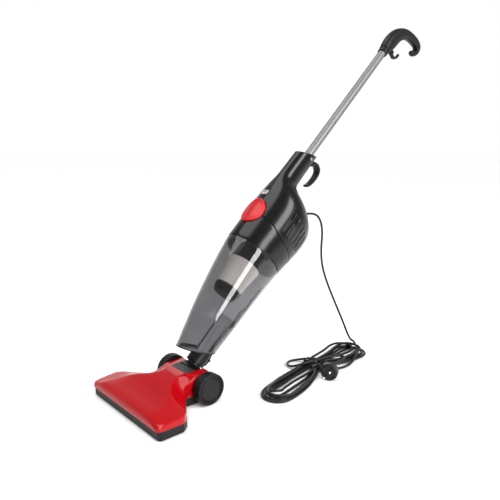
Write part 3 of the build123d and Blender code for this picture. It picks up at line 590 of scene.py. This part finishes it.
def cover_section(y, inset):
    """Half section of the cover at y, from the middle of the top out to the lower edge."""
    half, side, crease, top = interpolate(COVER_STATIONS, y)
    half, side, crease, top = half - inset, side - inset, crease - inset / 2, top - inset
    start = BAY_HALF if y > BAY_FRONT else 0
    points = []
    for part in (0, 0.35, 0.7, 0.93):
        points.append((start + (crease - start) * part, top))
    points.append((crease, top - 0.5))
    drop = top - 0.5 - side
    hollow = min(3.5, drop * 0.25) if -110 < y < -40 else min(1.0, drop * 0.1)
    for part in (0.12, 0.35, 0.62, 0.88):
        points.append((
            crease + (half - crease) * part,
            top - 0.5 - drop * part - hollow * math.sin(math.pi * part),
        ))
    points.append((half - 1.2, side - 0.8))
    points.append((half - 0.2, side - 3))
    points.append((half, (side + COVER_BOTTOM) / 2))
    points.append((half, COVER_BOTTOM))
    return points


def head_row(y, inset):
    """Points of both flanks of the cover at y, as one open row from left to right."""
    half = cover_section(y, inset)
    left = [head(x, y, z) for x, z in reversed(half)]
    right = [head(-x, y, z) for x, z in half]
    return left, right


def make_head_cover():
    """Red shell: one smooth sheet over the head, parted at the neck bay, with an inner skin."""
    ys = [-155, -153.6, -151, -148, -140, -128, -116, -104, -98, -92, -86, -80, -72, -64, -57, -52,
          -47, -42, -36, -30, BAY_FRONT - 0.3]
    rows = []
    for y in ys:
        left, right = head_row(y, 0)
        rows.append(left + right)
    vertices, faces = [], []
    count = len(rows[0])
    for row in rows:
        vertices += row
    for r in range(len(rows) - 1):
        for c in range(count - 1):
            faces.append((r * count + c, r * count + c + 1, (r + 1) * count + c + 1, (r + 1) * count + c))
    # Two arms run back beside the bay.
    half_count = count // 2
    previous = {1: [(len(rows) - 1) * count + k for k in range(half_count)],
                -1: [(len(rows) - 1) * count + half_count + k for k in range(half_count)]}
    for y in (BAY_FRONT + 0.3, -20, -12, -4, 4, 10, 13, 14):
        left, right = head_row(y, 0)
        for side, line in ((1, left), (-1, right)):
            first = len(vertices)
            vertices += line
            current = list(range(first, first + half_count))
            for c in range(half_count - 1):
                faces.append((previous[side][c], previous[side][c + 1], current[c + 1], current[c]))
            previous[side] = current
    # Front wall, back walls of the arms and the walls of the bay.
    front = list(range(count))
    base_left = len(vertices)
    vertices += [head(x, -154.6, COVER_BOTTOM) for x in (110, 60, 0, -60, -110)]
    faces.append((*front, *reversed(range(base_left, base_left + 5))))
    for side in (1, -1):
        faces.append(tuple(previous[side]) + (len(vertices),))
        vertices.append(head(side * BAY_HALF, 14, COVER_BOTTOM))
    shell = new_object("head_shell", vertices, faces, RED)
    thick = shell.modifiers.new("wall", "SOLIDIFY")
    thick.thickness = 2.2 * MM
    thick.offset = -1
    thick.use_even_offset = False
    apply_modifiers(shell)
    for polygon in shell.data.polygons:
        polygon.use_smooth = True
    soften(shell, 0.9, 3, 28)
    settle(shell, "floor_head", "head_cover", slot="head_red")


make_head_cover()


def carried(name, coat, edge=0.4):
    """A CAD node that keeps its shape and gets a finish and small rounded edges."""
    obj = nodes[name]
    obj.data.materials.clear()
    obj.data.materials.append(coat)
    for polygon in obj.data.polygons:
        polygon.material_index = 0
    if edge:
        soften(obj, edge, 2, 40)
    return obj


for node, coat in (
    ("head_base", BASE_BLACK), ("sole_plate", BASE_BLACK), ("drum_guard", GUARD_GREY),
    ("neck_yoke", SATIN_BLACK), ("neck_latch", SATIN_BLACK), ("neck_tube", SATIN_BLACK),
    ("inlet_flap", RUBBER), ("inlet_duct", DUCT_GREY),
    ("left_roller", HUB_BLACK), ("right_roller", HUB_BLACK), ("switch_body", SATIN_BLACK),
    ("filter_frame", FILTER_BLACK), ("filter_cap", FILTER_BLACK),
):
    carried(node, coat)
for node, coat in (
    ("front_brush", BRISTLE), ("rear_brush", BRISTLE), ("axle_pins", STEEL), ("pivot_bushes", NYLON),
    ("head_screws", STEEL), ("housing_screws", STEEL), ("cup_seal", RUBBER), ("front_mount", RUBBER),
    ("rear_mount", RUBBER), ("motor_can", STEEL), ("motor_field", IRON), ("armature", IRON),
    ("motor_shaft", STEEL), ("commutator", COPPER), ("carbon_brushes", CARBON), ("fan", ALUMINIUM),
    ("fan_shroud", DUCT_GREY), ("motor_bearings", STEEL), ("exhaust_foam", FOAM), ("release_spring", STEEL),
    ("cup_latch", SATIN_BLACK),
):
    carried(node, coat, 0)

# ---- body: dust cup, lower housing, housing halves -------------------------------------
CUP_STATIONS = (
    (12, 33, -59, 15), (34, 36.5, -65.5, 16.6), (109, 47, -85.5, 19.5), (199, 56, -104.7, 23.3),
    (275, 62.5, -116.5, 29.5), (300, 64.5, -117.3, 33.5),
)
UNIT_STATIONS = (
    (250, 60.5, -114, 27), (275, 62.5, -116.5, 29.5), (349, 66, -117.2, 43), (379, 66, -117.2, 45),
    (397, 64, -117.2, 42.5), (411, 60, -117.2, 34.5), (425, 53, -117, 20), (438, 43, -117, 0),
    (450, 30, -116.8, -28), (462, 21.5, -116.6, -54), (480, 19.5, -116.5, -60), (580, 18.5, -114.5, -61),
)


CUP_TOP = 274.85
CUP_WALL = 2.1
CUP_FLOOR = 2.4
DUCT_HOLE = 16.2
DUCT_Y = -3
UNIT_BOTTOM = 275.15
UNIT_FLOOR_TOP = 277.5
UNIT_WALL = 2.6
FILTER_HOLE = 24.2


def rim_height(y):
    """Slanted lower end of the dust cup."""
    return 19 + (y + 64) * 41 / 80


def upper_seam_height(y):
    """Height of the seam between the lower housing and the upper one."""
    return 322 - 0.24 * (y + 37)


def grip_top_height(y):
    """Height of the hand unit's sloping top."""
    return 548 + 0.65 * (y + 90)


def body_point(stations, angle, low, high, part, inset):
    """Point of the body's skin between two end surfaces; the angle runs from +X towards the back."""
    bottom, top = stations[0][0], stations[-1][0]
    for _ in range(26):
        height = (bottom + top) / 2
        half, front, back = interpolate(stations, height)
        y = (front + back) / 2 + ((back - front) / 2 - inset) * math.sin(angle)
        if height < low(y) + (high(y) - low(y)) * part:
            bottom = height
        else:
            top = height
    return stick((half - inset) * math.cos(angle), y, height)


def body_rings(stations, low, high, parts, inset, start=0.0, sweep=2 * math.pi, steps=96, edge=0.0):
    """Rings of the body from one end surface to the other, drawn in a little at both ends."""
    closed = abs(sweep - 2 * math.pi) < 1e-6
    rings = []
    last = len(parts) - 1
    for index, part in enumerate(parts):
        tuck = edge if index in (0, last) else 0
        count = steps if closed else steps + 1
        rings.append([
            body_point(stations, start + sweep * step / steps, low, high, part, inset + tuck)
            for step in range(count)
        ])
    return rings


def spread_parts(count, end=0.004):
    """Fractions from 0 to 1, with one more close to each end to keep the edge crisp."""
    return [0, end] + [end + (1 - 2 * end) * k / count for k in range(1, count)] + [1 - end, 1]


def make_cup():
    """Clear cup: outer and inner skins, a rolled rim below and a floor with the duct's hole."""
    def top(y):
        return CUP_TOP

    def floor_top(y):
        return rim_height(y) + CUP_FLOOR

    outer = body_rings(CUP_STATIONS, rim_height, top, spread_parts(28), 0, edge=0.5)
    inner = body_rings(CUP_STATIONS, floor_top, top, spread_parts(28, 0.002), CUP_WALL)
    hole = []
    hole_top = []
    for angle in around(96):
        x, y = DUCT_HOLE * math.cos(angle), DUCT_Y + DUCT_HOLE * math.sin(angle)
        hole.append(stick(x, y, rim_height(y)))
        hole_top.append(stick(x, y, floor_top(y)))
    rings = [hole, *outer, *reversed(inner), hole_top, hole]
    cup = skin("clear_cup", rings, SMOKE_CLEAR, start_cap=False, end_cap=False)
    settle(cup, "dust_cup", "dust_cup", slot="cup_smoke")
    lip = []
    for part, grow in ((0, -2.2), (0, 0.15), (0.5, 0.35), (1, 0.15), (1, -2.2)):
        lip.append([
            body_point(
                CUP_STATIONS, angle,
                lambda y: rim_height(y) + 0.1, lambda y: rim_height(y) + 2.6, part, -grow,
            )
            for angle in around(96)
        ])
    lip.append(lip[0])
    ring = skin("cup_foot_rim", lip, SATIN_BLACK, start_cap=False, end_cap=False)
    settle(ring, "dust_cup", slot="duct_grey")


make_cup()

# ---- filter seen through the cup --------------------------------------------------------
FILTER_Y = -46
POLE_Y = -81.7
POLE_BORE = 10.3


def make_pleats():
    """Folded paper of the filter, a little wider at its foot."""
    folds = 44
    rings = []
    for height, wide in ((248, 36.5), (243, 36.8), (228, 34.4), (210, 32), (195, 30.2), (183, 29)):
        ring = []
        for step, angle in enumerate(around(folds * 4)):
            radius = wide - (0, 1.5, 3.2, 1.5)[step % 4]
            ring.append(stick(radius * math.cos(angle), FILTER_Y + radius * math.sin(angle), height))
        rings.append(ring)
    pleats = skin("filter_paper_pleats", rings, PAPER)
    settle(pleats, "filter", "filter_pleats", slot="filter_paper")
    for polygon in pleats.data.polygons:
        polygon.use_smooth = False


make_pleats()

# ---- hand unit ---------------------------------------------------------------------------
BUTTON_HALF_WIDTH, BUTTON_HALF_HEIGHT = 28, 32
BUTTON_GAP = 0.4
BUTTON_Z = 346


def front_surface(x, height, stations=UNIT_STATIONS):
    """Depth of the body's front at x across and a height up the stick."""
    half, front, back = interpolate(stations, height)
    return (front + back) / 2 - (back - front) / 2 * math.sqrt(max(0.0, 1 - (x / half) ** 2))


def cutter(name, rings):
    """Closed shape that only cuts others."""
    return skin(name, rings, DARK)


def close_up(obj):
    """Joins doubled points and turns all faces outwards."""
    shape = bmesh.new()
    shape.from_mesh(obj.data)
    bmesh.ops.remove_doubles(shape, verts=shape.verts, dist=0.00001)
    bmesh.ops.dissolve_degenerate(shape, edges=shape.edges, dist=0.00001)
    bmesh.ops.recalc_face_normals(shape, faces=shape.faces)
    shape.to_mesh(obj.data)
    shape.free()


def cut_away(obj, cutters):
    """Cut shapes out of an object with exact booleans and delete the shapes."""
    for shape in (obj, *cutters):
        close_up(shape)
    for tool in cutters:
        modifier = obj.modifiers.new("cut", "BOOLEAN")
        modifier.operation = "DIFFERENCE"
        modifier.solver = "EXACT"
        modifier.object = tool
        modifier.material_mode = "TRANSFER"
    apply_modifiers(obj)
    for tool in cutters:
        bpy.data.objects.remove(tool)
    return obj


def button_cutter(name):
    """Oval block through the front wall, used to cut the release button's hole."""
    rings = []
    for depth in (-135, -100):
        rings.append([
            stick(
                (BUTTON_HALF_WIDTH + BUTTON_GAP) * math.cos(angle), depth,
                BUTTON_Z + (BUTTON_HALF_HEIGHT + BUTTON_GAP) * math.sin(angle),
            )
            for angle in around(72)
        ])
    return cutter(name, rings)


def slot_cutter(name, side, y, low, high):
    """Vent slot with round ends, cut in from the side."""
    half = 2.3
    outline = []
    for k in range(9):
        angle = math.pi * k / 8
        outline.append((y + half * math.cos(angle), high - half + half * math.sin(angle)))
    for k in range(9):
        angle = math.pi + math.pi * k / 8
        outline.append((y + half * math.cos(angle), low + half + half * math.sin(angle)))
    return cutter(name, [[stick(side * x, oy, oz) for oy, oz in outline] for x in (30, 90)])


def make_lower_housing():
    """Lower housing: an outer and an inner skin, a floor with the filter's hole, and the button's hole."""
    parts = spread_parts(10, 0.02)
    outer = body_rings(UNIT_STATIONS, lambda y: UNIT_BOTTOM, upper_seam_height, parts, 0, edge=0.55)
    inner = body_rings(UNIT_STATIONS, lambda y: UNIT_FLOOR_TOP, upper_seam_height, parts, UNIT_WALL)
    floor = [
        [stick(radius * math.cos(angle), FILTER_Y + radius * math.sin(angle), z) for angle in around(96)]
        for radius, z in ((FILTER_HOLE, UNIT_BOTTOM), (FILTER_HOLE, UNIT_FLOOR_TOP))
    ]
    rings = [floor[0], *outer, *reversed(inner), floor[1], floor[0]]
    shell = skin("lower_housing", rings, BODY_BLACK, start_cap=False, end_cap=False)
    cut_away(shell, [button_cutter("cut_button_low")])
    settle(shell, "hand_unit", "motor_base", slot="body_black")
    return shell


def make_housing_half(name, side):
    """Half of the upper housing with its grip: a closed shell, parted at the middle plane."""
    count = 44
    start, sweep = -math.pi / 2, math.pi * side
    parts = [0, 0.002, *(k / 72 for k in range(1, 72)), 0.998, 1]
    gap = 0.12

    def low(y):
        return upper_seam_height(y) + 0.25

    def ring(part, inset, tuck):
        points = []
        for step in range(count + 1):
            angle = start + sweep * step / count
            point = body_point(UNIT_STATIONS, angle, low, grip_top_height, part, inset + tuck)
            seam = 0.5 if step in (0, count) else 0
            point.x = side * max(abs(point.x), gap * MM)
            if seam and not inset:
                point += BACK * (0.4 * MM if step == 0 else -0.4 * MM)
            points.append(point)
        return points

    def bore_ring(part):
        points = []
        for step in range(count + 1):
            angle = start + sweep * step / count
            point = stick(POLE_BORE * math.cos(angle), POLE_Y + POLE_BORE * math.sin(angle), 0)
            y = stick_depth(point)
            height = 512 + (grip_top_height(y) - 512) * part
            point = stick(side * max(POLE_BORE * abs(math.cos(angle)), gap), y, height)
            points.append(point)
        return points

    outer = [ring(part, 0, 0.5 if index in (0, len(parts) - 1) else 0) for index, part in enumerate(parts)]
    inner = [ring(part, 2.5, 0) for part in parts if part < 0.82]
    bore = [bore_ring(0), bore_ring(0.5), bore_ring(1)]
    rows = [*outer, *reversed(bore), *reversed(inner)]
    rows.append(rows[0])
    vertices = [point for row in rows[:-1] for point in row]
    faces = []
    width = count + 1
    total = len(rows) - 1
    for r in range(total):
        after = (r + 1) % total
        for c in range(count):
            faces.append((r * width + c, r * width + c + 1, after * width + c + 1, after * width + c))
    # Close both cut edges between the outer and the inner skin.
    inner_first = len(outer) + len(bore)
    pairs = len(inner)
    for column in (0, count):
        for k in range(pairs - 1):
            a, b = k, k + 1
            c, d = total - 1 - k, total - 2 - k
            faces.append(tuple(index * width + column for index in (a, b, d, c)))
        rest = list(range(pairs - 1, inner_first + 1))
        faces.append(tuple(index * width + column for index in rest))
    half = new_object(f"housing_{name}_shell", vertices, faces, BODY_BLACK)
    cutters = [button_cutter(f"cut_button_{name}")]
    for vent in range(6):
        y = -63 + 13 * vent
        cutters.append(slot_cutter(f"cut_vent_{name}_{vent}", side, y, 338, 394 - 0.6 * vent * vent))
    cut_away(half, cutters)
    settle(half, "hand_unit", f"housing_{name}", slot="body_black")
    return half


def make_button():
    """Oval button: a raised rim round a slightly hollow, finely grained face."""
    levels = ((1.0, -6), (1.0, 3.2), (0.975, 4.4), (0.94, 4.9), (0.90, 4.7), (0.86, 4.15), (0.6, 3.9),
              (0.3, 3.8), (0.02, 3.8))
    rings = []
    for share, proud in levels:
        ring = []
        for angle in around(96):
            x = BUTTON_HALF_WIDTH * share * math.cos(angle)
            z = BUTTON_Z + BUTTON_HALF_HEIGHT * share * math.sin(angle)
            ring.append(stick(x, front_surface(x, z) - proud, z))
        rings.append(ring)
    button = skin("release_button_cap", rings, BUTTON_RED)
    settle(button, "release_button", "release_button", slot="button_red")


def make_switch():
    """Silvered slide switch with grip ribs in a black frame."""
    width, bottom, top = 7.2, 392.4, 404.6
    y = -117.8
    profile = [(bottom, y - 0.2), (bottom + 0.6, y - 1.8)]
    for rib in range(4):
        at = bottom + 2.2 + 2.3 * rib
        profile += [(at, y - 1.8), (at + 0.5, y - 3.0), (at + 1.1, y - 3.0), (at + 1.6, y - 1.8)]
    profile += [(top - 0.6, y - 1.8), (top, y - 0.2)]
    rings = [[stick(x, depth, z) for z, depth in profile] for x in (-width, -width + 0.8, width - 0.8, width)]
    slider = skin("switch_slider_cap", rings, SILVER_TRIM)
    soften(slider, 0.25, 2, 30)
    settle(slider, "switch", "switch_slider", slot="switch_silver")
    frame_rings = []
    for grow, proud in ((5.2, 0.1), (5.0, 1.0), (3.0, 1.2), (2.0, 0.6), (2.0, -0.6)):
        ring = []
        for angle in around(48):
            wide, high = squared(angle, 0.5)
            x = (3.6 + grow) * wide
            z = 401.5 + (9 + grow) * high
            ring.append(stick(x, front_surface(x, z) - proud, z))
        frame_rings.append(ring)
    surround = skin("switch_surround", frame_rings, SATIN_BLACK, start_cap=False, end_cap=False)
    settle(surround, "hand_unit", slot="switch_plastic")


def arc_strip(points, detail=6):
    """Smooth line through given points (Catmull-Rom), each a tuple of equal length."""
    result = []
    for index in range(len(points) - 1):
        before = points[max(index - 1, 0)]
        low, high = points[index], points[index + 1]
        after = points[min(index + 2, len(points) - 1)]
        for step in range(detail):
            t = step / detail
            result.append(tuple(
                0.5 * (
                    2 * p + (q - o) * t + (2 * o - 5 * p + 4 * q - r) * t**2 + (3 * p - o - 3 * q + r) * t**3
                )
                for o, p, q, r in zip(before, low, high, after)
            ))
    result.append(tuple(points[-1]))
    return result


def swept(name, stations, coat, steps=40, power=1.0):
    """Solid along a line in the stick's side plane; stations are y, z, turn, half width, half depth."""
    rings = []
    for y, z, turn, half, depth in arc_strip(stations):
        angle = math.radians(turn)
        side = BACK * math.cos(angle) - UP * math.sin(angle)
        ring = []
        for part in around(steps):
            wide, deep = squared(part, power)
            ring.append(stick(0, y, z) + (ACROSS * half * wide + side * depth * deep) * MM)
        rings.append(ring)
    return skin(name, rings, coat)


def make_lower_hook():
    """J-shaped plate on the back of the grip that the cord is wound round."""
    stations = (
        (-64, 536, 0, 8, 3), (-58, 549, 30, 9, 6), (-45, 556, 75, 9.3, 5.5), (-33, 552, 125, 9.5, 4.5),
        (-27.5, 540, 168, 9.5, 3.6), (-27.5, 520, 180, 9.3, 3.3), (-31, 505, 195, 8.5, 3.4),
        (-35, 499, 215, 6.5, 3), (-36.5, 497.5, 225, 2.5, 1.5),
    )
    hook = swept("lower_cord_hook", stations, SATIN_BLACK, power=0.75)
    settle(hook, "hand_unit", "lower_hook", slot="hook_black")


def make_pole():
    """Aluminium pole and the collar at its top."""
    base = stick(0, POLE_Y, 0)
    radius, inner, bottom, top = 10, 9.2, 512, 975
    outside = [(radius, 520 + 25 * k) for k in range(18)]
    profile = [
        (radius, bottom), *outside, (radius, top), (inner, top), (inner, bottom), (radius, bottom),
    ]
    pole = lathe("pole_pipe", base, UP, profile, ALUMINIUM, steps=96, across=ACROSS)
    settle(pole, "hand_unit", "pole_tube", slot="pole_aluminium")
    collar_profile = rounded([
        (10.1, 932), (11.6, 932), (12.9, 934), (12.9, 938.5), (12.2, 939.2), (12.2, 940.2), (12.9, 940.9),
        (12.9, 947.8), (10.1, 947.8),
    ], 0.6, 3)
    collar = lathe("handle_collar_ring", base, UP, collar_profile, HANDLE_BLACK, steps=64, across=ACROSS)
    settle(collar, "hand_unit", "handle_collar", slot="handle_black")


HANDLE_STATIONS = (
    (-81.7, 948.2, 0, 13.2, 14), (-81.2, 965, 0, 13.8, 18.6), (-80, 990, 3, 13.8, 19.8),
    (-74, 1020, 16, 13.3, 17.2), (-58, 1047, 42, 12.8, 14.2), (-36, 1065, 62, 12.2, 12.2),
    (-10, 1077, 72, 11.7, 11.2), (7, 1077, 115, 10.7, 9.2), (11.5, 1063, 170, 9.7, 8.2),
    (5, 1050, 225, 8.7, 7.6), (-2.5, 1046.5, 255, 6.6, 5.4), (-5, 1046, 262, 2.6, 2.2),
)


def make_handle():
    """Bent handle at the top of the pole."""
    handle = swept("cane_handle", HANDLE_STATIONS, HANDLE_BLACK, steps=56, power=0.86)
    settle(handle, "hand_unit", "top_handle", slot="handle_black")


def make_upper_hook():
    """Turning cord hook: a round foot and a curved arm."""
    foot = lathe("upper_hook_foot", stick(0, -58, 968), BACK, rounded([
        (0, -3.6), (6.6, -3.6), (7, -3.0), (7, 2.4), (6.2, 3.4), (0, 3.6)], 0.5, 3), SATIN_BLACK, steps=40)
    settle(foot, "upper_hook", slot="hook_black")
    stations = (
        (-57, 967, 90, 4.5, 5.5), (-48, 966, 80, 4.5, 4.6), (-40.5, 969.5, 40, 4.5, 3.6),
        (-35.8, 977, 12, 4.5, 3.0), (-34, 986, 4, 4.4, 2.7), (-34.5, 991.5, -8, 3.8, 2.2),
        (-35, 993.4, -10, 1.4, 0.9),
    )
    arm = swept("upper_hook_arm", stations, SATIN_BLACK, steps=32, power=0.75)
    settle(arm, "upper_hook", "upper_hook", slot="hook_black")


make_lower_housing()
make_housing_half("left", 1)
make_housing_half("right", -1)
make_button()
make_switch()
make_lower_hook()
make_pole()
make_handle()
make_upper_hook()

# ---- room: pale floor, soft lamps ---------------------------------------------------------


def make_room():
    """Pale floor and a soft grey-to-white world."""
    size = 60.0
    floor = new_object("floor", [(-size, -size, -0.0005), (size, -size, -0.0005), (size, size, -0.0005),
                                 (-size, size, -0.0005)], [(0, 1, 2, 3)], material(
        "pale_floor", (0.96, 0.96, 0.96), 0.75, grain=30, bump=0.01, shade=0.01))
    world = bpy.data.worlds.new("studio")
    world.use_nodes = True
    tree = world.node_tree
    place = tree.nodes.new("ShaderNodeTexCoord")
    toward = tree.nodes.new("ShaderNodeVectorMath")
    toward.operation = "DOT_PRODUCT"
    toward.inputs[1].default_value = (-0.74, 0.67, -1.5)
    tree.links.new(place.outputs["Generated"], toward.inputs[0])
    ramp = tree.nodes.new("ShaderNodeValToRGB")
    ramp.color_ramp.elements[0].position = 0.02
    ramp.color_ramp.elements[0].color = (0.42, 0.42, 0.42, 1)
    ramp.color_ramp.elements[1].position = 0.45
    ramp.color_ramp.elements[1].color = (1, 1, 1, 1)
    tree.links.new(toward.outputs["Value"], ramp.inputs["Fac"])
    tree.links.new(ramp.outputs["Color"], tree.nodes["Background"].inputs["Color"])
    tree.nodes["Background"].inputs["Strength"].default_value = 1.0
    bpy.context.scene.world = world
    bpy.context.scene.view_settings.view_transform = "Standard"


def make_lamp(name, place, target, width, height, power, roll_axis=None):
    """Rectangular area lamp at a place, aimed at a target."""
    data = bpy.data.lights.new(name, "AREA")
    data.shape = "RECTANGLE"
    data.size = width
    data.size_y = height
    data.energy = power
    lamp = bpy.data.objects.new(name, data)
    bpy.context.collection.objects.link(lamp)
    back = (Vector(place) - Vector(target)).normalized()
    up = Vector(roll_axis) if roll_axis else Vector((0, 0, 1))
    side = up.cross(back).normalized()
    up = back.cross(side)
    place_by_axes(lamp, (side, up, back), place)


def make_sun():
    """Broad, soft light from above."""
    data = bpy.data.lights.new("soft_sun", "SUN")
    data.energy = 2.0
    data.angle = math.radians(50)
    sun = bpy.data.objects.new("soft_sun", data)
    sun.rotation_euler = (math.radians(14), math.radians(-10), 0)
    bpy.context.collection.objects.link(sun)


make_room()
make_sun()
middle = stick(0, -45, 300)
# A tall soft box on the right, leaned with the stick, and a smaller one behind the head.
make_lamp("side_box", middle + Vector((2.28, 0.24, 1.0)), middle, 0.75, 3.0, 95, UP)
make_lamp("rear_box", Vector((-2.2, 1.6, 1.1)), Vector((0, AXLE.y, 0.05)), 1.6, 1.6, 8)
make_lamp("top_box", Vector((0.3, -1.2, 3.0)), Vector((0, 0, 0.2)), 1.2, 2.0, 6)
